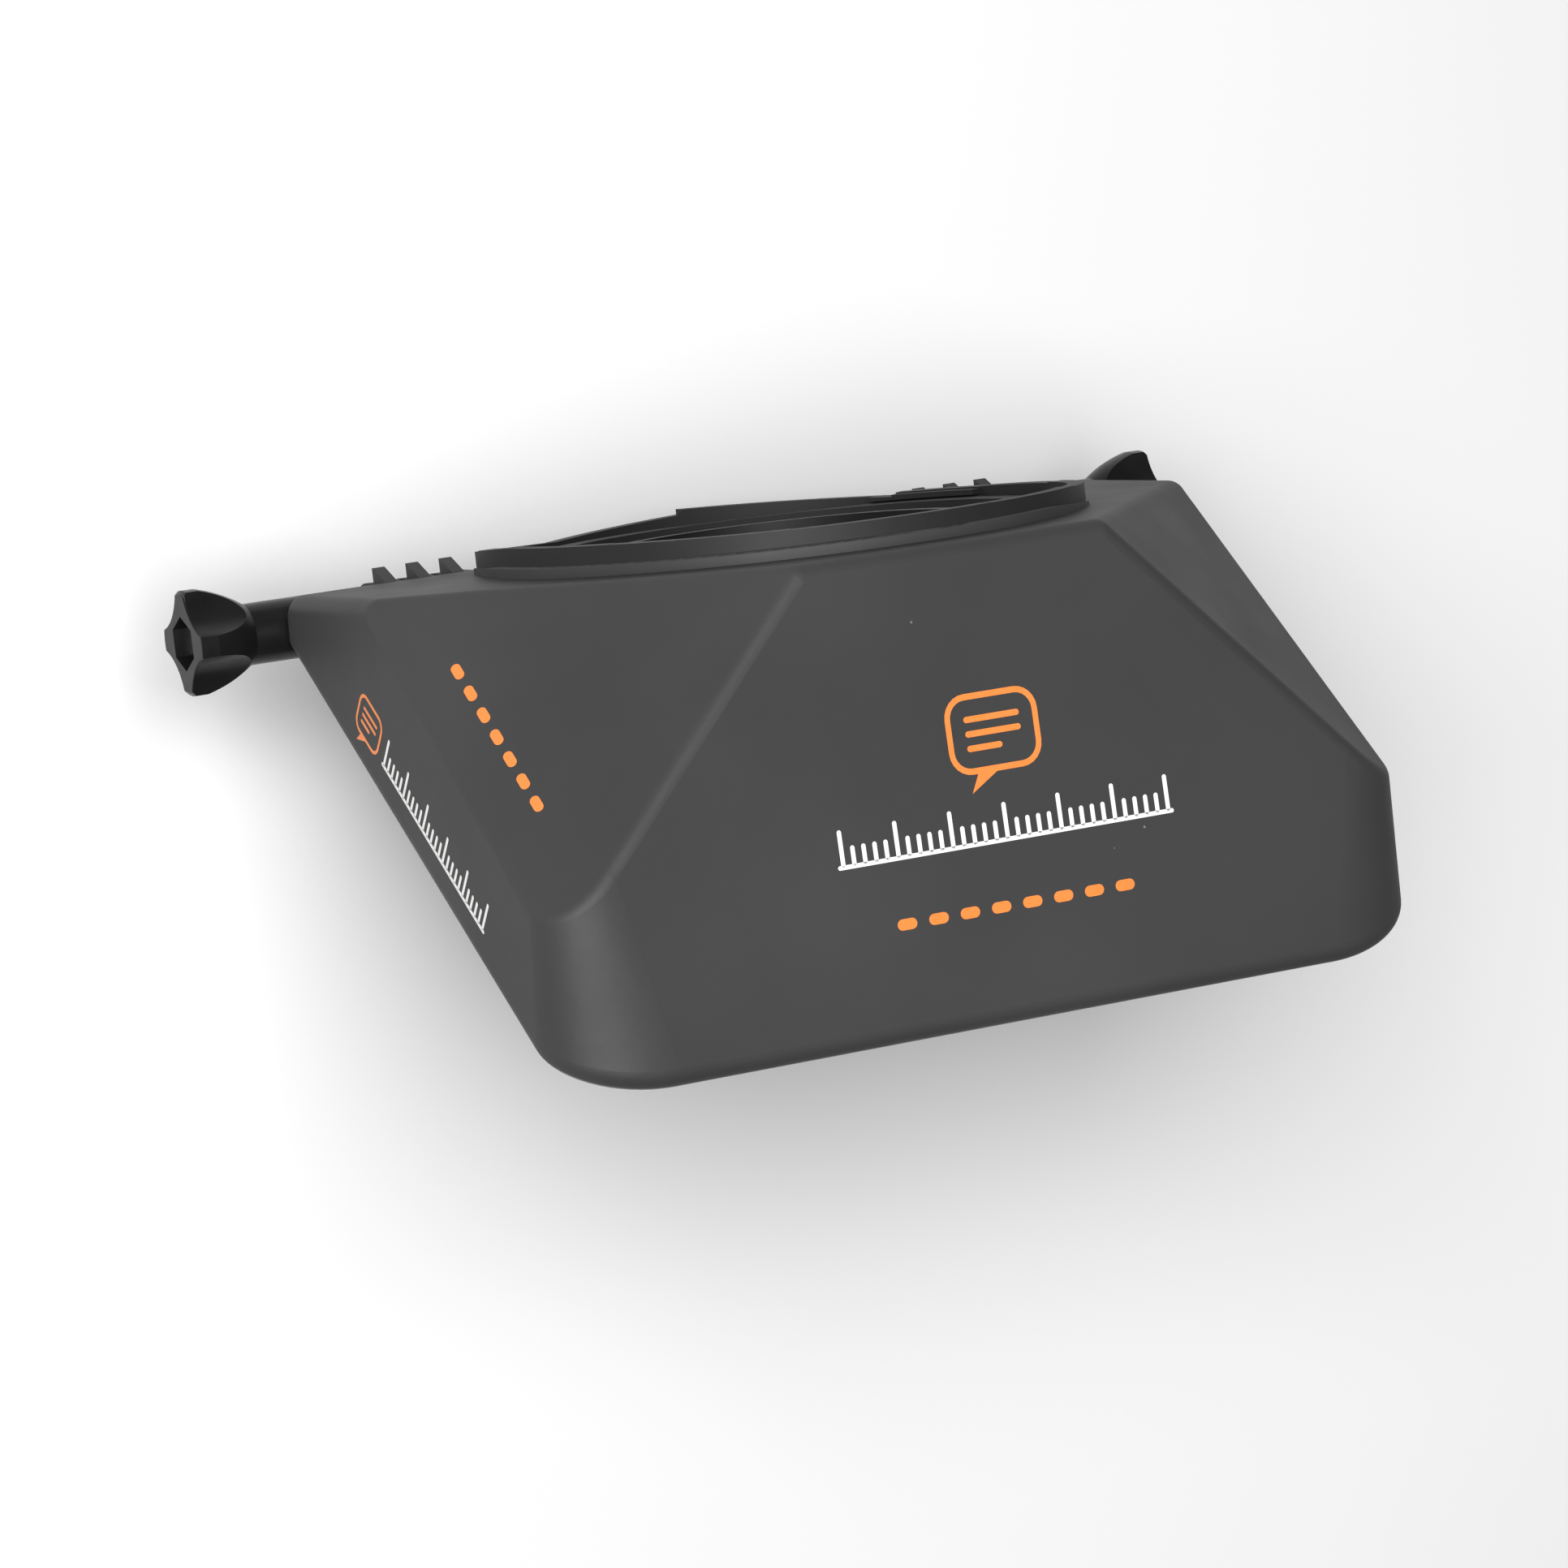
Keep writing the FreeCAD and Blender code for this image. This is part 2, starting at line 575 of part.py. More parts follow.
# --- device tray --------------------------------------------------------------------------------
# Drawn lying level with the hinge axis at the origin: +Y is u, -Z is n.


def tray_box(x, u, n):
    return span_box(x, u, (-n[0], -n[1]))


def folded(shape):
    """Swing a level tray piece up against the mouth and set it on the hinge axis."""
    placed = shape.copy()
    placed.rotate(V(0, 0, 0), X_AXIS, FOLD_DEG)
    placed.translate(HINGE_POINT)
    return placed


def is_far_corner(edge, u):
    """True for an upright edge at the end of a plate away from the hinge."""
    a, b = edge.Vertexes[0].Point, edge.Vertexes[-1].Point
    return abs(a.x - b.x) < 0.01 and abs(a.y - b.y) < 0.01 and a.y > u[0] + 1


def rounded_plate(half, u, n, corner):
    plate = tray_box((-half, half), u, n)
    return plate.makeFillet(corner, [e for e in plate.Edges if is_far_corner(e, u)])


deck_under = DECK_N + DECK_T
tray = rounded_plate(TRAY_HALF, TRAY_U, (DECK_N, TRAY_BASE_N), TRAY_CORNER)
room = rounded_plate(TRAY_HALF - TRAY_RIM, (TRAY_U[0] + TRAY_RIM, TRAY_U[1] - TRAY_RIM),
                     (deck_under, TRAY_BASE_N + 1), TRAY_CORNER - TRAY_RIM)
tray = tray.cut(room)
for x in (-ROD_X, ROD_X):
    tray = tray.fuse(tray_box((x - 6, x + 6), ROD_BLOCK_U, (deck_under - 0.5, TRAY_BASE_N)))
for x in (-SPRING_X, SPRING_X):
    post = cylinder(SPRING_POST_R, V(x, SPRING_POST_U, -TRAY_BASE_N), Z_AXIS, TRAY_BASE_N - deck_under + 0.5)
    tray = tray.fuse(post)
for x, u in COVER_SCREW_POS:
    boss = cylinder(SCREW_HEAD_R + 0.6, V(x, u, -TRAY_BASE_N), Z_AXIS, TRAY_BASE_N - deck_under + 0.5)
    tray = tray.fuse(boss)
lip = tray_box((-JAW_HALF, JAW_HALF), REAR_JAW_U, (JAW_TOP_N, DECK_N + 0.5))
tray = tray.fuse(lip)
for side in (-1, 1):
    for x in TRAY_FINGER_X:
        x_from = side * x - TRAY_FINGER_T / 2
        eye = cylinder(EYE_R - 0.1, V(x_from, 0, 0), X_AXIS, TRAY_FINGER_T)
        arm = prism([(x_from, -3.2, -3.0), (x_from, -3.2, -deck_under), (x_from, 9.0, -deck_under),
                     (x_from, 9.0, -DECK_N), (x_from, 4.6, -2.0)], V(TRAY_FINGER_T, 0, 0))
        tray = tray.fuse(eye).fuse(arm)
tray = tray.cut(cylinder(BUSH_R, V(-100, 0, 0), X_AXIS, 200))
for x in (-ROD_X, ROD_X):
    slot = tray_box((x - LEG_HALF - SLOT_CLEAR, x + LEG_HALF + SLOT_CLEAR),
                    (CARRIAGE_U[0] - SLOT_CLEAR, CARRIAGE_U[1] + JAW_TRAVEL + SLOT_CLEAR),
                    (DECK_N - 1, deck_under + 0.2))
    tray = tray.cut(slot)
    tray = tray.cut(cylinder(ROD_R, V(x, ROD_U[0], -ROD_N), Y_AXIS, 60))
for side in (-1, 1):
    recess = tray_box((side * DECK_PAD_X[0], side * DECK_PAD_X[1]), DECK_PAD_U, (DECK_N - 1, DECK_N + 0.5))
    tray = tray.cut(recess)
for x, u in COVER_SCREW_POS:
    hole_start = V(x, u, -TRAY_BASE_N - 1)
    tray = tray.cut(cylinder(SCREW_R - SCREW_BITE, hole_start, Z_AXIS, COVER_SCREW_REACH + 1.5))
for x in (-END_CAP_SCREW_X, END_CAP_SCREW_X):
    boss_u = (TRAY_U[1] - 8, TRAY_U[1] - 1)
    tray = tray.fuse(tray_box((x - 3, x + 3), boss_u, (deck_under - 0.5, TRAY_BASE_N)))
for x in (-END_CAP_SCREW_X, END_CAP_SCREW_X):
    tray = tray.cut(cylinder(SCREW_R - SCREW_BITE, V(x, TRAY_U[1] - 7, -ROD_N), Y_AXIS, 20))
save("device_tray", folded(tray.removeSplitter()))

cover = rounded_plate(TRAY_HALF, TRAY_U, (TRAY_BASE_N, TRAY_BASE_N + COVER_T), TRAY_CORNER)
cover_screws = []
for x, u in COVER_SCREW_POS:
    under = V(x, u, -TRAY_BASE_N - COVER_T)
    cover = cover.cut(cylinder(SCREW_R, under - Z_AXIS, Z_AXIS, 5))
    cover = cover.cut(cylinder(SCREW_HEAD_R + 0.1, under - Z_AXIS, Z_AXIS, 1 + SCREW_HEAD_T))
    shank_length = COVER_T + COVER_SCREW_REACH - SCREW_HEAD_T
    cover_screws.append(pan_screw(under + Z_AXIS * SCREW_HEAD_T, Z_AXIS, shank_length))
save("tray_cover", folded(cover))
save("cover_screws", folded(Part.makeCompound(cover_screws)))

end_cap_u = (TRAY_U[1], TRAY_U[1] + END_CAP_T)
end_cap = tray_box((-END_CAP_HALF, END_CAP_HALF), end_cap_u, (deck_under, TRAY_BASE_N))
cap_screws = []
for x in (-END_CAP_SCREW_X, END_CAP_SCREW_X):
    end_cap = end_cap.cut(cylinder(SCREW_R, V(x, TRAY_U[1] - 1, -ROD_N), Y_AXIS, 5))
    seat = V(x, TRAY_U[1] + END_CAP_T, -ROD_N)
    cap_screws.append(pan_screw(seat, Y_AXIS * -1, END_CAP_T + CAP_SCREW_REACH))
save("tray_end_cap", folded(end_cap))
save("end_cap_screws", folded(Part.makeCompound(cap_screws)))

rods = [cylinder(ROD_R, V(x, ROD_U[0], -ROD_N), Y_AXIS, ROD_U[1] - ROD_U[0]) for x in (-ROD_X, ROD_X)]
save("guide_rods", folded(Part.makeCompound(rods)))

springs = []
for x in (-SPRING_X, SPRING_X):
    springs.append(tube(SPRING_R, SPRING_R - 0.7, V(x, SPRING_U[0] + 0.3, -ROD_N), Y_AXIS,
                        SPRING_U[1] - SPRING_U[0] - 0.6))
save("return_springs", folded(Part.makeCompound(springs)))

bushes = []
for side in (-1, 1):
    for x in TRAY_FINGER_X:
        bush_start = V(side * x - TRAY_FINGER_T / 2, 0, 0)
        bushes.append(tube(BUSH_R, BUSH_BORE_R, bush_start, X_AXIS, TRAY_FINGER_T))
save("hinge_bushes", folded(Part.makeCompound(bushes)))

deck_pads = []
for side in (-1, 1):
    deck_pads.append(tray_box((side * DECK_PAD_X[0], side * DECK_PAD_X[1]), DECK_PAD_U,
                              (DECK_N + 0.5 - DECK_PAD_T, DECK_N + 0.5)))
save("deck_pads", folded(Part.makeCompound(deck_pads)))

rear_pad_u = (REAR_JAW_U[1], REAR_JAW_U[1] + PAD_T)
rear_pad = tray_box((-PAD_HALF, PAD_HALF), rear_pad_u, (JAW_TOP_N + 0.5, DECK_N - 1.0))
save("rear_jaw_pad", folded(rear_pad))


# --- sliding jaw -----------------------------------------------------------------------------------

jaw = tray_box((-JAW_HALF, JAW_HALF), JAW_U, (JAW_TOP_N, DECK_N - 0.4))
jaw = jaw.fuse(tray_box((-CARRIAGE_HALF, CARRIAGE_HALF), CARRIAGE_U, CARRIAGE_N))
for x in (-ROD_X, ROD_X):
    jaw = jaw.fuse(tray_box((x - LEG_HALF, x + LEG_HALF), CARRIAGE_U, (DECK_N - 0.6, CARRIAGE_N[0] + 0.5)))
for x in (-ROD_X, ROD_X):
    jaw = jaw.cut(cylinder(JAW_BUSH_R, V(x, CARRIAGE_U[0] - 1, -ROD_N), Y_AXIS, 20))
save("sliding_jaw", folded(jaw.removeSplitter()))

carriage_length = CARRIAGE_U[1] - CARRIAGE_U[0]
jaw_bushes = [tube(JAW_BUSH_R, JAW_BUSH_BORE_R, V(x, CARRIAGE_U[0], -ROD_N), Y_AXIS, carriage_length)
              for x in (-ROD_X, ROD_X)]
save("jaw_bushes", folded(Part.makeCompound(jaw_bushes)))

jaw_pad = tray_box((-PAD_HALF, PAD_HALF), (JAW_U[0] - PAD_T, JAW_U[0]), (JAW_TOP_N + 0.5, DECK_N - 1.0))
save("sliding_jaw_pad", folded(jaw_pad))
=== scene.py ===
# %% [markdown]
# # A compact lens-mounted teleprompter
# This lesson dresses a finished mechanical model of a small teleprompter: a dark
# moulded hood with a slanted sheet of part-silvered glass, a ring that screws to a
# camera lens, and a folding tray for a phone.  The mechanical parts arrive as a fixed
# frame.  Our work is surfaces, small soft or wound parts, printed marks, light and camera.

# %% Load the frame
import bpy
import bmesh
import math
from mathutils import Matrix, Vector


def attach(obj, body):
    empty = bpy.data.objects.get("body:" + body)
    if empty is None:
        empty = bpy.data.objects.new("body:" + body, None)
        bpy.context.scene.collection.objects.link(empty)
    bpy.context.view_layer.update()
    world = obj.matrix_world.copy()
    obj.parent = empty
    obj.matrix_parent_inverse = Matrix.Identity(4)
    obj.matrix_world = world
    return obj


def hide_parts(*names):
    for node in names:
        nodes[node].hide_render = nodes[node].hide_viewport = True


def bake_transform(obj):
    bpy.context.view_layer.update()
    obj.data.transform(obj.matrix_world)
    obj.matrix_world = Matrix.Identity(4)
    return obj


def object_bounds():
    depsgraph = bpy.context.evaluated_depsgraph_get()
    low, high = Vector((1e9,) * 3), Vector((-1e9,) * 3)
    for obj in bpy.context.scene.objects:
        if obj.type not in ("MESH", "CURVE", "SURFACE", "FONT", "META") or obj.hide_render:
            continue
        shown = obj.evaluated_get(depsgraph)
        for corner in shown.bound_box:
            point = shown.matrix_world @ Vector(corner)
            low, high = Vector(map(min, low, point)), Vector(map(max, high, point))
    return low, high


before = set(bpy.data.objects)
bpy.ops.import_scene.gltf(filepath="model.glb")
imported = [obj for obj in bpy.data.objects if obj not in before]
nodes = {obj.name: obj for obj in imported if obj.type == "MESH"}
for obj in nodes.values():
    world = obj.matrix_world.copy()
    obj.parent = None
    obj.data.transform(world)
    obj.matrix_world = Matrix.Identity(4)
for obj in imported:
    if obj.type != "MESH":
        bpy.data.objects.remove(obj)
cad_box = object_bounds()
print("pieces in the frame:", len(nodes))
print("frame box, metres:", [[round(v, 4) for v in corner] for corner in cad_box])

# %% [markdown]
# ## Working units
# The mechanical drawing is in millimetres and Blender works in metres, so one small
# constant keeps the numbers readable.  The hood's main planes are repeated here because
# printed marks have to lie exactly on them.

# %% Units and main planes
MM = 0.001
HALF_WIDTH = 77.6
SIDE_FLARE = 0.030
ROOF_Z = 60.1
ROOF_RISE = 0.059
FACET_X = 27.06
FACET_SLOPE_Y = 1.008
FACET_SLOPE_Z = -0.839
HINGE = Vector((0, 5.9, -39.2)) * MM
FOLD = math.atan2(1.0, 0.737)
TRAY_OUT = Vector((0, math.cos(FOLD), math.sin(FOLD)))
TRAY_DOWN = Vector((0, math.sin(FOLD), -math.cos(FOLD)))
print("tray folded up by", round(math.degrees(FOLD), 1), "degrees")

# %% [markdown]
# ## A small kit for materials
# Every finish is a Principled shader fed by a few procedural nodes.  The helper keeps a
# material's nodes in one place: `noise` makes a cloud of values, `span` turns them into a
# range we choose, and `bump` turns them into tiny hills.  Object coordinates are used all
# through, in metres, so a scale of 1000 means details about a millimetre across.

# %% Material kit
class Finish:
    """A Principled material with helpers that wire in procedural detail."""

    def __init__(self, name):
        self.material = bpy.data.materials.new(name)
        self.material.use_nodes = True
        self.tree = self.material.node_tree
        self.shader = self.tree.nodes["Principled BSDF"]
        self.coords = self.tree.nodes.new("ShaderNodeTexCoord").outputs["Object"]
        self.height = None

    def node(self, kind, **values):
        made = self.tree.nodes.new(kind)
        for key, value in values.items():
            setattr(made, key, value)
        return made

    def link(self, source, target):
        self.tree.links.new(source, target)
        return target

    def noise(self, scale, detail=2.0):
        made = self.node("ShaderNodeTexNoise")
        made.inputs["Scale"].default_value = scale
        made.inputs["Detail"].default_value = detail
        self.link(self.coords, made.inputs["Vector"])
        return made.outputs["Fac"]

    def cells(self, scale):
        made = self.node("ShaderNodeTexVoronoi")
        made.inputs["Scale"].default_value = scale
        self.link(self.coords, made.inputs["Vector"])
        return made.outputs["Distance"]

    def span(self, value, low, high, start=0.3, end=0.7):
        made = self.node("ShaderNodeMapRange")
        made.inputs["From Min"].default_value = start
        made.inputs["From Max"].default_value = end
        made.inputs["To Min"].default_value = low
        made.inputs["To Max"].default_value = high
        self.link(value, made.inputs["Value"])
        return made.outputs["Result"]

    def mix(self, fac, first, second):
        made = self.node("ShaderNodeMix", data_type="RGBA")
        self.link(fac, made.inputs["Factor"])
        for value, socket in ((first, made.inputs[6]), (second, made.inputs[7])):
            if isinstance(value, tuple):
                socket.default_value = value
            else:
                self.link(value, socket)
        return made.outputs[2]

    def color(self, value):
        if isinstance(value, tuple):
            self.shader.inputs["Base Color"].default_value = value
        else:
            self.link(value, self.shader.inputs["Base Color"])

    def rough(self, value):
        if isinstance(value, float):
            self.shader.inputs["Roughness"].default_value = value
        else:
            self.link(value, self.shader.inputs["Roughness"])

    def bump(self, value, strength, depth):
        made = self.node("ShaderNodeBump")
        made.inputs["Strength"].default_value = strength
        made.inputs["Distance"].default_value = depth
        self.link(value, made.inputs["Height"])
        if self.height is not None:
            self.link(self.height, made.inputs["Normal"])
        self.height = made.outputs["Normal"]
        self.link(self.height, self.shader.inputs["Normal"])

    def set(self, **values):
        for key, value in values.items():
            self.shader.inputs[key.replace("_", " ")].default_value = value
        return self


def grey(value, warm=0.0):
    return (value + warm, value, value - warm, 1.0)


def finish_nodes(finish, *names):
    """Put a finish on pieces of the frame, in the slot they already have."""
    for name in names:
        piece = nodes[name]
        if not piece.material_slots:
            piece.data.materials.append(None)
        for slot in piece.material_slots:
            slot.link = "OBJECT"
            slot.material = finish.material
    print(finish.material.name, "on", ", ".join(names))


print("material kit ready, with", len([m for m in vars(Finish) if not m.startswith("_")]), "helpers")

# %% [markdown]
# ## The hood's moulded plastic
# The hood is one large moulding in charcoal ABS.  Its mould was spark-eroded, which
# leaves a very fine, soft grain that scatters light, so the surface is satin rather than
# glossy.  Two sizes of noise make that grain, a slow cloud varies the sheen where hands
# have been, and sparse cells leave a few pale specks of dust.

# %% Hood plastic
def moulded_plastic(name, tone, sheen_low, sheen_high, grain=1.0):
    """Satin moulded plastic: a mottled tone, uneven sheen, fine grain and a little dust."""
    finish = Finish(name)
    cloud = finish.noise(22.0, detail=4.0)
    tone_high = tuple(min(1.0, c * 1.10) for c in tone[:3]) + (1.0,)
    tone_low = tuple(c * 0.92 for c in tone[:3]) + (1.0,)
    base = finish.mix(finish.span(cloud, 0.0, 1.0), tone_low, tone_high)
    speck = finish.span(finish.cells(170.0), 1.0, 0.0, 0.030, 0.045)
    rare = finish.span(finish.noise(60.0, detail=1.0), 0.0, 1.0, 0.60, 0.66)
    both = finish.node("ShaderNodeMath", operation="MULTIPLY")
    finish.link(speck, both.inputs[0])
    finish.link(rare, both.inputs[1])
    base = finish.mix(both.outputs[0], base, grey(0.22))
    finish.color(base)
    finish.rough(finish.span(finish.noise(35.0, detail=5.0), sheen_low, sheen_high))
    finish.bump(finish.noise(2600.0, detail=1.0), 0.16 * grain, 0.00004)
    finish.bump(finish.noise(900.0, detail=2.0), 0.10 * grain, 0.00008)
    return finish


hood_plastic = moulded_plastic("hood_plastic_finish", (0.030, 0.030, 0.0305), 0.50, 0.60)
hood_plastic.set(Specular_IOR_Level=0.18)
finish_nodes(hood_plastic, "hood_shell")

# %% [markdown]
# ## Plainer dark plastics
# The bezel round the glass, the lens collar and the tray are separate mouldings.  They
# share the recipe but not the exact tone: a real assembly never matches perfectly.

# %% Other plastics
bezel_plastic = moulded_plastic("bezel_plastic_finish", (0.014, 0.014, 0.015), 0.42, 0.52)
finish_nodes(bezel_plastic, "mouth_bezel")
collar_plastic = moulded_plastic("collar_plastic_finish", (0.013, 0.013, 0.0135), 0.50, 0.60)
collar_plastic.set(Specular_IOR_Level=0.15)
finish_nodes(collar_plastic, "lens_collar")
ring_plastic = moulded_plastic("ring_plastic_finish", (0.012, 0.012, 0.0125), 0.58, 0.70)
ring_plastic.set(Specular_IOR_Level=0.18)
finish_nodes(ring_plastic, "adapter_ring")
tray_plastic = moulded_plastic("tray_plastic_finish", (0.028, 0.028, 0.0285), 0.50, 0.62, grain=1.3)
tray_plastic.set(Specular_IOR_Level=0.20)
finish_nodes(tray_plastic, "device_tray", "tray_cover", "tray_end_cap", "sliding_jaw")

# %% [markdown]
# ## Glossy thumbscrew plastic
# The star knobs are polished nylon.  They are nearly black with a clear highlight, and
# the only texture is faint handling marks that break the reflection up a little.

# %% Knob plastic
knob_plastic = Finish("knob_plastic_finish")
knob_plastic.color(knob_plastic.mix(knob_plastic.span(knob_plastic.noise(90.0), 0.0, 1.0),
                                    grey(0.005), grey(0.008)))
knob_plastic.rough(knob_plastic.span(knob_plastic.noise(240.0, detail=6.0), 0.24, 0.36))
knob_plastic.bump(knob_plastic.noise(700.0, detail=3.0), 0.10, 0.00005)
knob_plastic.set(Specular_IOR_Level=0.15)
finish_nodes(knob_plastic, "left_knob", "right_knob")
print("knob origin:", tuple(round(v, 4) for v in nodes["right_knob"].matrix_world.translation))

# %% [markdown]
# ## Metals
# Bolts, nuts, washers and the guide rods are zinc-plated steel.  Plating is bright but
# slightly mottled.  Small case screws are blackened, and the step ring is turned
# aluminium, anodised black, with the fine rings the lathe left.

# %% Metals
zinc = Finish("zinc_steel_finish")
zinc.color(zinc.mix(zinc.span(zinc.noise(300.0, detail=4.0), 0.0, 1.0), grey(0.50), grey(0.62, -0.01)))
zinc.rough(zinc.span(zinc.noise(500.0, detail=4.0), 0.24, 0.40))
zinc.bump(zinc.noise(1500.0, detail=2.0), 0.08, 0.00003)
zinc.set(Metallic=1.0)
finish_nodes(zinc, "left_bolt", "right_bolt", "hinge_nuts", "hinge_washers", "guide_rods")

black_steel = Finish("black_steel_finish")
black_steel.color(black_steel.mix(black_steel.span(black_steel.noise(800.0), 0.0, 1.0),
                                  grey(0.030), grey(0.060)))
black_steel.rough(black_steel.span(black_steel.noise(900.0, detail=3.0), 0.32, 0.48))
black_steel.bump(black_steel.noise(2500.0), 0.10, 0.00003)
black_steel.set(Metallic=0.8)
finish_nodes(black_steel, "collar_screws", "cover_screws", "end_cap_screws")

anodised = Finish("anodised_ring_finish")
lathe = anodised.node("ShaderNodeTexWave", wave_type="RINGS", rings_direction="Y")
lathe.inputs["Scale"].default_value = 900.0
anodised.link(anodised.coords, lathe.inputs["Vector"])
anodised.color(anodised.mix(anodised.span(anodised.noise(60.0, detail=3.0), 0.0, 1.0),
                            grey(0.010), grey(0.016)))
anodised.rough(anodised.span(lathe.outputs["Fac"], 0.48, 0.60, 0.0, 1.0))
anodised.bump(lathe.outputs["Fac"], 0.20, 0.00003)
anodised.set(Metallic=0.5, Specular_IOR_Level=0.25)
finish_nodes(anodised, "step_ring")

# %% [markdown]
# ## Soft and hidden parts
# A strip of foam rubber cushions the glass, the hood is lined with black flock so that
# no stray light reaches the lens, and nylon bushes carry the hinge.

# %% Foam, flock, nylon
foam = Finish("foam_seal_finish")
# The colour follows the bump's cell pattern: the pits are painted darker than the cell walls, a
# painted shade in the pores of the foam.
foam.color(foam.mix(foam.span(foam.cells(1600.0), 0.0, 1.0, 0.0, 0.5), grey(0.012), grey(0.035)))
foam.rough(0.9)
foam.bump(foam.cells(1600.0), 0.6, 0.0002)
finish_nodes(foam, "glass_gasket")

flock = Finish("flock_finish")
flock.color(flock.mix(flock.span(flock.noise(1800.0, detail=3.0), 0.0, 1.0), grey(0.004), grey(0.016)))
flock.rough(1.0)
flock.bump(flock.noise(2200.0, detail=3.0), 0.9, 0.0003)
flock.set(Sheen_Weight=0.3, Sheen_Roughness=0.6, Specular_IOR_Level=0.05)
finish_nodes(flock, "flock_liner")

nylon = Finish("nylon_finish")
nylon.color(nylon.mix(nylon.span(nylon.noise(200.0), 0.0, 1.0), grey(0.58, 0.02), grey(0.68, 0.02)))
nylon.rough(nylon.span(nylon.noise(400.0), 0.40, 0.52))
nylon.bump(nylon.noise(1200.0), 0.10, 0.00005)
nylon.set(Subsurface_Weight=0.1, Subsurface_Scale=0.002)
finish_nodes(nylon, "hinge_bushes", "jaw_bushes")

# %% [markdown]
# ## The beam-splitter glass
# The glass lets the camera look straight through while reflecting the phone below it.
# One face carries a very thin silvering, so it is a clear sheet with a stronger mirror
# reflection than ordinary glass.

# %% Glass
glass = Finish("beam_glass_finish")
glass.color((0.82, 0.87, 0.88, 1.0))
glass.rough(glass.span(glass.noise(40.0, detail=4.0), 0.0, 0.02))
glass.set(Transmission_Weight=0.85, IOR=1.75, Coat_Weight=1.0, Coat_Roughness=0.02)
finish_nodes(glass, "beam_splitter_glass")

# %% [markdown]
# ## Rubber grip pads
# The jaws and the tray deck carry rubber pads with moulded ribs, so a phone cannot
# slide.  The frame has them as plain blocks.  Here each becomes a ribbed strip: a row of
# rounded ridges swept from one profile, which costs few faces and looks moulded.

# %% Pads
RIB_STEPS = 8
PAD_ACROSS = (-36.0, 36.0)
PAD_DOWN = (1.35, 9.85)
REAR_PAD_OUT = (5.0, 6.5)
JAW_PAD_OUT = (64.5, 66.0)
PAD_RIBS = 24
PAD_RIB_DEPTH = 0.6
STRIP_EDGES = (41.0, 53.0)
STRIP_OUT = (14.0, 92.0)
STRIP_DOWN = (10.35, 11.35)
STRIP_RIBS = 26
STRIP_RIB_DEPTH = 0.4


def tray_point(x, u, n):
    """A point on the folded tray: across, out from the hinge, and down from the hinge line."""
    return Vector((x * MM, 0, 0)) + HINGE + TRAY_OUT * (u * MM) + TRAY_DOWN * (n * MM)


def ribbed_block(name, across, out, down, rib_axis, ribs, depth, proud_axis, proud_sign):
    """Block in tray directions; the ribs repeat along rib_axis on the face towards proud_axis."""
    spans = {"x": across, "u": out, "n": down}
    other = [a for a in "xun" if a not in (rib_axis, proud_axis)][0]
    low, high = spans[rib_axis]
    steps = ribs * RIB_STEPS
    face = spans[proud_axis][1 if proud_sign > 0 else 0]
    back = spans[proud_axis][0 if proud_sign > 0 else 1]
    mesh = bpy.data.meshes.new(name)
    made = bmesh.new()
    rows = []
    for step in range(steps + 1):
        along = low + (high - low) * step / steps
        wave = 0.5 - 0.5 * math.cos(2 * math.pi * step / RIB_STEPS)
        top = face - proud_sign * depth * (1.0 - wave)
        row = []
        for where, level in ((0, back), (0, top), (1, top), (1, back)):
            value = {rib_axis: along, other: spans[other][where], proud_axis: level}
            row.append(made.verts.new(tray_point(value["x"], value["u"], value["n"])))
        rows.append(row)
    for a, b in zip(rows, rows[1:]):
        for i in range(4):
            j = (i + 1) % 4
            made.faces.new((a[i], a[j], b[j], b[i]))
    made.faces.new(rows[0])
    made.faces.new(list(reversed(rows[-1])))
    bmesh.ops.recalc_face_normals(made, faces=made.faces)
    made.to_mesh(mesh)
    made.free()
    piece = bpy.data.objects.new(name, mesh)
    bpy.context.collection.objects.link(piece)
    return piece


rubber = Finish("grip_rubber_finish")
rubber.color(rubber.mix(rubber.span(rubber.noise(150.0, detail=4.0), 0.0, 1.0),
                        grey(0.014), grey(0.026)))
rubber.rough(rubber.span(rubber.noise(260.0, detail=3.0), 0.62, 0.78))
rubber.bump(rubber.noise(1900.0, detail=2.0), 0.22, 0.00006)

rear_pad = ribbed_block("rear_jaw_pad_ribbed", PAD_ACROSS, REAR_PAD_OUT, PAD_DOWN,
                        "x", PAD_RIBS, PAD_RIB_DEPTH, "u", 1)
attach(rear_pad, "tray")
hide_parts("rear_jaw_pad")
jaw_pad = ribbed_block("sliding_jaw_pad_ribbed", PAD_ACROSS, JAW_PAD_OUT, PAD_DOWN,
                       "x", PAD_RIBS, PAD_RIB_DEPTH, "u", -1)
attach(jaw_pad, "jaw")
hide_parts("sliding_jaw_pad")
deck_strips = []
for side, label in ((-1, "left"), (1, "right")):
    across = tuple(sorted(side * edge for edge in STRIP_EDGES))
    deck_strips.append(ribbed_block("deck_strip_" + label, across, STRIP_OUT, STRIP_DOWN,
                                    "u", STRIP_RIBS, STRIP_RIB_DEPTH, "n", -1))
for strip in deck_strips:
    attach(strip, "tray")
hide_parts("deck_pads")
for piece in [rear_pad, jaw_pad] + deck_strips:
    piece.data.materials.append(rubber.material)
print("ribbed pads:", 2 + len(deck_strips))
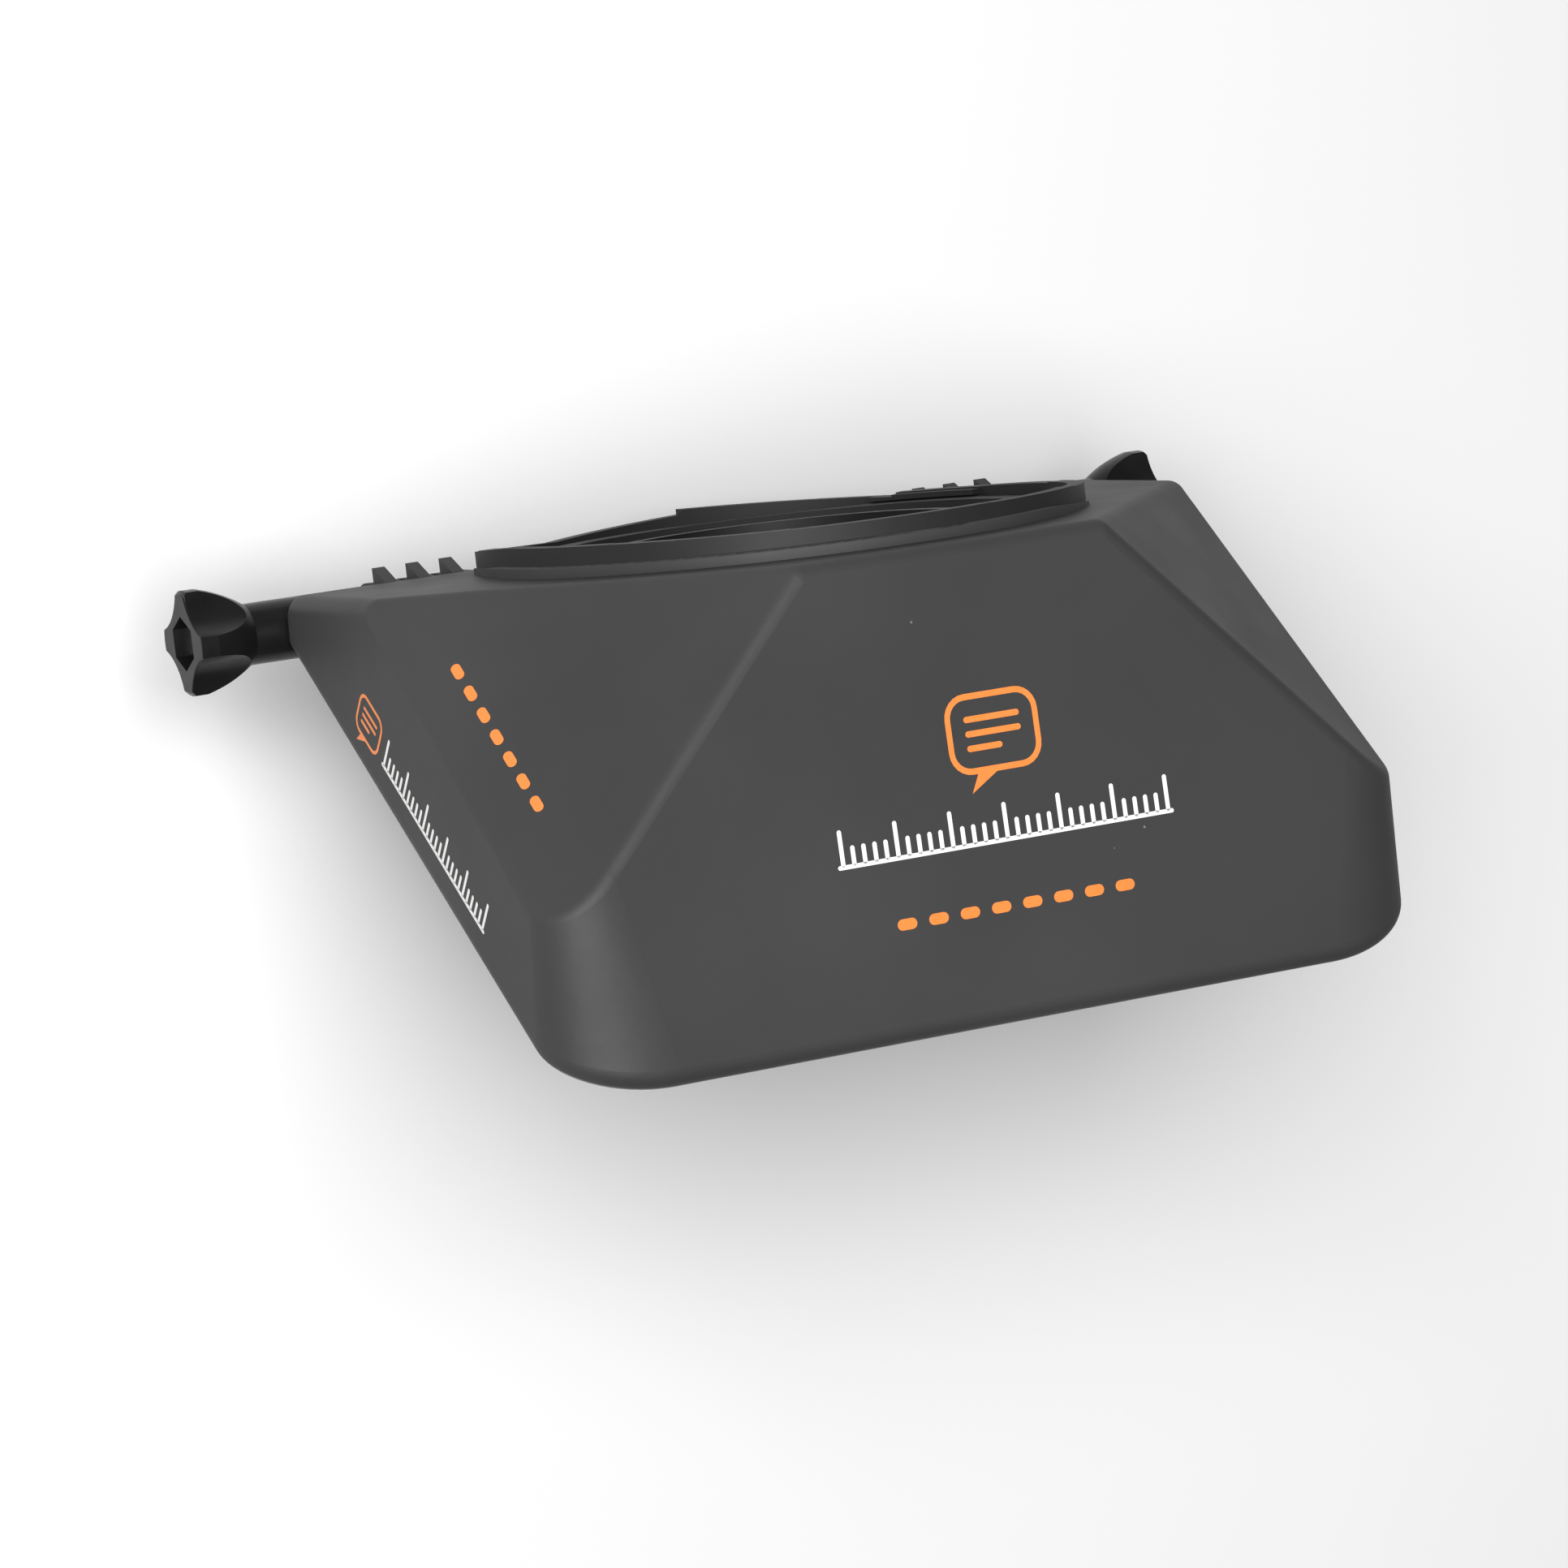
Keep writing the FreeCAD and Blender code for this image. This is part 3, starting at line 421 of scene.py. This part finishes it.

# %% [markdown]
# ## The jaw's return springs
# Two extension springs pull the sliding jaw onto the phone.  A spring is a helix with a
# hook at each end, so we draw its centre line point by point and sweep a round wire
# along it.

# %% Springs
SPRING_SPAN = (20.0, 60.0)
SPRING_DEPTH = 15.6
SPRING_RADIUS = 1.75
WIRE_RADIUS = 0.00032
SPRING_TURNS = 30
TURN_STEPS = 16
COIL_INSET = 2.5           # from the spring's end to its first turn
HOOK_TIP = 0.4
HOOK_BEND = 1.4
HOOK_OFFSET = 0.6          # where a hook leaves the coil, as a part of its radius


def coil(name, x, start_u, end_u, n, radius, wire, turns):
    """Extension spring along the tray, with a hook at each end."""
    centre = []
    steps = turns * TURN_STEPS
    length = end_u - start_u - 2 * COIL_INSET
    for step in range(steps + 1):
        angle = 2 * math.pi * step / TURN_STEPS
        u = start_u + COIL_INSET + length * step / steps
        centre.append(tray_point(x + radius * math.cos(angle), u, n + radius * math.sin(angle)))
    hook_x = x + radius * HOOK_OFFSET
    hook_start = [tray_point(x, start_u + HOOK_TIP, n), tray_point(hook_x, start_u + HOOK_BEND, n)]
    hook_end = [tray_point(hook_x, end_u - HOOK_BEND, n), tray_point(x, end_u - HOOK_TIP, n)]
    points = hook_start + centre + hook_end
    curve = bpy.data.curves.new(name, "CURVE")
    curve.dimensions = "3D"
    curve.bevel_depth = wire
    curve.bevel_resolution = 2
    line = curve.splines.new("POLY")
    line.points.add(len(points) - 1)
    for slot, point in zip(line.points, points):
        slot.co = (*point, 1.0)
    holder = bpy.data.objects.new(name, curve)
    mesh = bpy.data.meshes.new_from_object(holder)
    piece = bpy.data.objects.new(name, mesh)
    bpy.context.collection.objects.link(piece)
    for face in mesh.polygons:
        face.use_smooth = True
    mesh.materials.clear()
    mesh.materials.append(zinc.material)
    return piece


for x, label in ((-16.0, "left"), (16.0, "right")):
    spring = coil("jaw_spring_" + label, x, *SPRING_SPAN, SPRING_DEPTH, SPRING_RADIUS,
                  WIRE_RADIUS, SPRING_TURNS)
    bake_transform(spring)
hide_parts("return_springs")

# %% [markdown]
# ## Printed marks
# The hood carries pad-printed marks in white and orange.  Ours are plain signs with no
# lettering: a speech bubble that stands for the script, a graduated scale and
# a row of dashes.  Each is a very thin sheet laid a few hundredths of a millimetre off
# the surface, which is about the thickness of real ink.

# %% Mark helpers
INK_LIFT = 0.03
FULL_ROW = 0.60            # a full text line, as a part of the sign's width
TEXT_ROWS = ((0.18, FULL_ROW), (0.0, FULL_ROW), (-0.18, 0.38))
LONG_TICK_EVERY = 5
SHORT_TICK = 0.55
DASH_FILL = 0.62


def plane_frame(origin, right, up):
    """A function that places flat (a, b) millimetre coordinates on a plane of the hood."""
    right = Vector(right).normalized()
    normal = right.cross(Vector(up)).normalized()
    upward = normal.cross(right)
    return lambda a, b: (Vector(origin) + right * a + upward * b + normal * INK_LIFT) * MM


def ink_sheet(name, place, outlines, finish):
    """Flat inked shapes; each outline is a list of quads or polygons in plane coordinates."""
    mesh = bpy.data.meshes.new(name)
    made = bmesh.new()
    for polygon in outlines:
        corners = [made.verts.new(place(a, b)) for a, b in polygon]
        made.faces.new(corners)
    made.to_mesh(mesh)
    made.free()
    piece = bpy.data.objects.new(name, mesh)
    bpy.context.collection.objects.link(piece)
    mesh.materials.append(finish.material)
    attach(piece, "hood")
    return piece


def rounded(a, b, width, height, radius, steps=6):
    """Rounded rectangle centred on a, b; steps is the number of facets in each corner."""
    points = []
    for cx, cy, start in ((1, 1, 0), (-1, 1, 90), (-1, -1, 180), (1, -1, 270)):
        for step in range(steps + 1):
            angle = math.radians(start + 90.0 / steps * step)
            points.append((a + cx * (width / 2 - radius) + radius * math.cos(angle),
                           b + cy * (height / 2 - radius) + radius * math.sin(angle)))
    return points


def bar(a, b, width, height):
    """Bar with fully rounded ends."""
    return rounded(a, b, width, height, min(width, height) / 2, steps=4)


def band(outer, inner):
    """Quads between two closed outlines with the same number of points."""
    count = len(outer)
    return [[outer[i], outer[(i + 1) % count], inner[(i + 1) % count], inner[i]] for i in range(count)]


def script_bubble(a, b, width, height, line):
    """A speech bubble with text lines, the plain sign for a script."""
    corner = height * 0.3
    shapes = band(rounded(a, b, width, height, corner),
                  rounded(a, b, width - 2 * line, height - 2 * line, corner - line))
    tail_x = a - width * 0.22
    tail_y = b - height / 2
    tail_tip = (tail_x - line * 1.5, tail_y - line * 3)
    shapes.append([(tail_x, tail_y), tail_tip, (tail_x + line * 3.5, tail_y)])
    for row, part in TEXT_ROWS:
        shapes.append(bar(a - (FULL_ROW - part) * width / 2, b + row * height, part * width, line))
    return shapes


def scale_marks(a, b, width, height, count):
    """A graduated scale: a base line with long and short ticks."""
    shapes = [bar(a, b - height / 2, width, height * 0.12)]
    for step in range(count):
        tall = height if step % LONG_TICK_EVERY == 0 else height * SHORT_TICK
        x = a - width / 2 + width * (step + 0.5) / count
        shapes.append(bar(x, b - height / 2 + tall / 2, height * 0.13, tall))
    return shapes


def dashes(a, b, width, height, count):
    """A row of round-ended dashes."""
    pitch = width / count
    first = a - width / 2 + pitch / 2
    return [bar(first + pitch * step, b, pitch * DASH_FILL, height) for step in range(count)]


def ink(name, tone):
    """Printed ink: an even tone with a faint mottle and a satin sheen."""
    finish = Finish(name)
    shade = tuple(c * 0.93 for c in tone[:3]) + (1.0,)
    finish.color(finish.mix(finish.span(finish.noise(700.0, detail=3.0), 0.0, 1.0), shade, tone))
    finish.rough(finish.span(finish.noise(300.0), 0.42, 0.55))
    finish.bump(finish.noise(2600.0), 0.12, 0.00004)
    return finish


white_ink = ink("white_ink_finish", (0.60, 0.60, 0.59, 1.0))
orange_ink = ink("orange_ink_finish", (0.62, 0.17, 0.030, 1.0))
print("inks:", white_ink.material.name, "and", orange_ink.material.name)

# %% [markdown]
# ## Placing the marks
# A mark has to lie in its plane, so each group gets a middle point and two directions that
# span the plane.  The roof rises gently towards the front, the facet is the slanted plane
# beside the opening, and the side wall leans out a little.

# %% Marks on the roof, the right facet and the right side
SIDE_MARKS_Y = 37.2
roof_place = plane_frame((-2.4, 30.8, 61.92), (-1, 0, 0), (0, -1, -ROOF_RISE))
ink_sheet("roof_sign", roof_place, script_bubble(0.0, 0.0, 17.0, 13.0, 1.0), orange_ink)
ink_sheet("roof_scale", roof_place, scale_marks(0.0, -14.6, 62.0, 6.0, 31), white_ink)
ink_sheet("roof_dashes", roof_place, dashes(0.0, -28.2, 46.0, 1.8, 8), orange_ink)

facet_middle = Vector((0, 22.1, 33.7))
facet_middle.x = FACET_X + FACET_SLOPE_Y * facet_middle.y + FACET_SLOPE_Z * (facet_middle.z - ROOF_Z)
facet_right = Vector((0, -FACET_SLOPE_Z, FACET_SLOPE_Y))
facet_up = Vector((1, -FACET_SLOPE_Y, -FACET_SLOPE_Z)).cross(facet_right)
facet_place = plane_frame(facet_middle, facet_right, facet_up)
ink_sheet("facet_dashes", facet_place, dashes(0.0, 0.0, 37.0, 1.7, 7), orange_ink)

side_middle = Vector((HALF_WIDTH + SIDE_FLARE * SIDE_MARKS_Y, SIDE_MARKS_Y, 21.5))
side_right = Vector((SIDE_FLARE * 0.6, 0.6, 0.8))
side_up = Vector((-SIDE_FLARE * 0.8, -0.8, 0.6))
side_place = plane_frame(side_middle, side_right, side_up)
ink_sheet("side_sign", side_place, script_bubble(-28.2, 0.0, 9.6, 7.4, 0.6), orange_ink)
ink_sheet("side_scale", side_place, scale_marks(0.0, 0.0, 43.0, 5.4, 26), white_ink)
print("printed sheets: 6")

# %% [markdown]
# ## Studio
# A pale floor and large soft lights give the even, shadow-light look of a catalogue
# picture.  The part hangs from a lens in use, so the floor lies far enough below it for
# the tray to swing open.

# %% Floor and lights
TRAY_ROOM = 0.028          # the open tray hangs this far below the closed part
FLOOR_HALF = 4.0
AIM = (0, 0.03, 0)
KEY_AT = (0.69, -0.22, 1.48)
KEY_POWER = 64.0
BACK_AT = (-0.10, -1.30, 0.50)
BACK_POWER = 0.8
AIR_GLOW = 0.08
low_corner = cad_box[0]
floor_mesh = bpy.data.meshes.new("studio_floor")
made = bmesh.new()
bmesh.ops.create_grid(made, x_segments=1, y_segments=1, size=FLOOR_HALF)
made.to_mesh(floor_mesh)
made.free()
floor = bpy.data.objects.new("studio_floor", floor_mesh)
floor.location = (0, 0, low_corner[2] - TRAY_ROOM)
bpy.context.collection.objects.link(floor)
paper = Finish("studio_paper")
paper.color(paper.mix(paper.span(paper.noise(3.0), 0.0, 1.0), grey(0.55), grey(0.57)))
paper.rough(0.9)
floor_mesh.materials.append(paper.material)


def soft_light(name, position, size, power):
    """Square studio light that points at the part."""
    light = bpy.data.lights.new(name, "AREA")
    light.shape = "SQUARE"
    light.size = size
    light.energy = power
    holder = bpy.data.objects.new(name, light)
    holder.location = position
    direction = Vector(AIM) - Vector(position)
    holder.rotation_euler = direction.to_track_quat("-Z", "Y").to_euler()
    bpy.context.collection.objects.link(holder)


soft_light("key_light", KEY_AT, 1.1, KEY_POWER)
soft_light("back_light", BACK_AT, 0.9, BACK_POWER)
world = bpy.data.worlds.new("studio_air")
world.use_nodes = True
world.node_tree.nodes["Background"].inputs["Color"].default_value = (1.0, 1.0, 1.0, 1.0)
world.node_tree.nodes["Background"].inputs["Strength"].default_value = AIR_GLOW
bpy.context.scene.world = world
bpy.context.scene.view_settings.view_transform = "Standard"

# %% [markdown]
# ## Camera
# The camera looks down on the back of the hood from one side.  A long lens, about 150 mm
# on a full-frame sensor, keeps the perspective gentle.  Its position and the directions
# of its right and down sides fix it completely, so we build the rotation from those.

# %% Camera
CAMERA_AT = Vector((499.5, -76.7, 985.3)) * MM
CAMERA_RIGHT = Vector((-0.88253, 0.11263, 0.45657))
CAMERA_DOWN = Vector((0.14861, 0.98794, 0.04354))
LENS = 151.4
camera_data = bpy.data.cameras.new("studio_camera")
camera_data.sensor_width = 36.0
camera_data.lens = LENS
camera_data.clip_start = 0.05
camera = bpy.data.objects.new("studio_camera", camera_data)
look = CAMERA_RIGHT.cross(-CAMERA_DOWN)
turn = Matrix((CAMERA_RIGHT, -CAMERA_DOWN, look)).transposed().to_4x4()
camera.matrix_world = Matrix.Translation(CAMERA_AT) @ turn
bpy.context.collection.objects.link(camera)
bpy.context.scene.camera = camera
print("view:", bpy.context.scene.view_settings.view_transform, bpy.context.scene.view_settings.look)
print("camera distance, metres:", round(CAMERA_AT.length, 3))

# %% [markdown]
